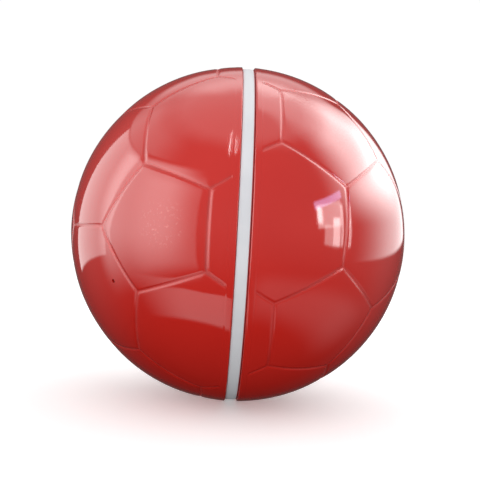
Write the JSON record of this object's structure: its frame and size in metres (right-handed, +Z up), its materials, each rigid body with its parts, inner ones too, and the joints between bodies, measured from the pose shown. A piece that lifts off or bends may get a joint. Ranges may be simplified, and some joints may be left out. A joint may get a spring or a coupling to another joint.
{
  "type": "tetherball",
  "caption": "Hard split-shell tetherball with soccer-style panel grooves, a narrow centre band, a cord slot in the band and a swivel inside.",
  "frame": {"origin": "centre of the ball, on the axis of the centre band", "axes": "+X along the axis of the centre band from the left shell to the right shell, +Z up through the cord slot, -Y to the front"},
  "size_m": [0.216, 0.2156, 0.2156],
  "materials": {
    "red_shell": "glossy moulded ABS",
    "white_band": "matte white thermoplastic rubber",
    "red_ring": "moulded, fine texture",
    "black_seal": "smooth nitrile",
    "steel": "stainless, lightly worn",
    "nylon": "natural nylon"
  },
  "bodies": {
    "ball": {"left_shell": "red_shell", "joining_ring": "red_ring", "centre_band": "white_band", "left_seal_ring": "black_seal", "shell_screw_1": "steel", "shell_screw_2": "steel", "shell_screw_3": "steel", "shell_screw_4": "steel", "shell_screw_5": "steel", "cord_bush": "steel", "bush_clip": "steel", "swivel_bracket": "steel", "bracket_screw_front": "steel", "bracket_screw_back": "steel", "upper_washer": "nylon", "lower_washer": "nylon"},
    "grip_ring": {"right_seal_ring": "black_seal"},
    "lid": {"right_shell": "red_shell"},
    "swivel": {"swivel_eye": "steel", "lock_nut": "steel"}
  },
  "joints": [
    {"name": "lid_turn", "type": "hinge", "parent": "ball", "child": "grip_ring", "pos_m": [0, 0, 0], "axis": [1, 0, 0], "continuous": true},
    {"name": "lid_pull", "type": "slide", "parent": "grip_ring", "child": "lid", "axis": [1, 0, 0], "range_m": [0, 0.06]},
    {"name": "tether_swivel", "type": "hinge", "parent": "ball", "child": "swivel", "pos_m": [0, 0, 0.071], "axis": [0, 0, 1], "continuous": true}
  ]
}
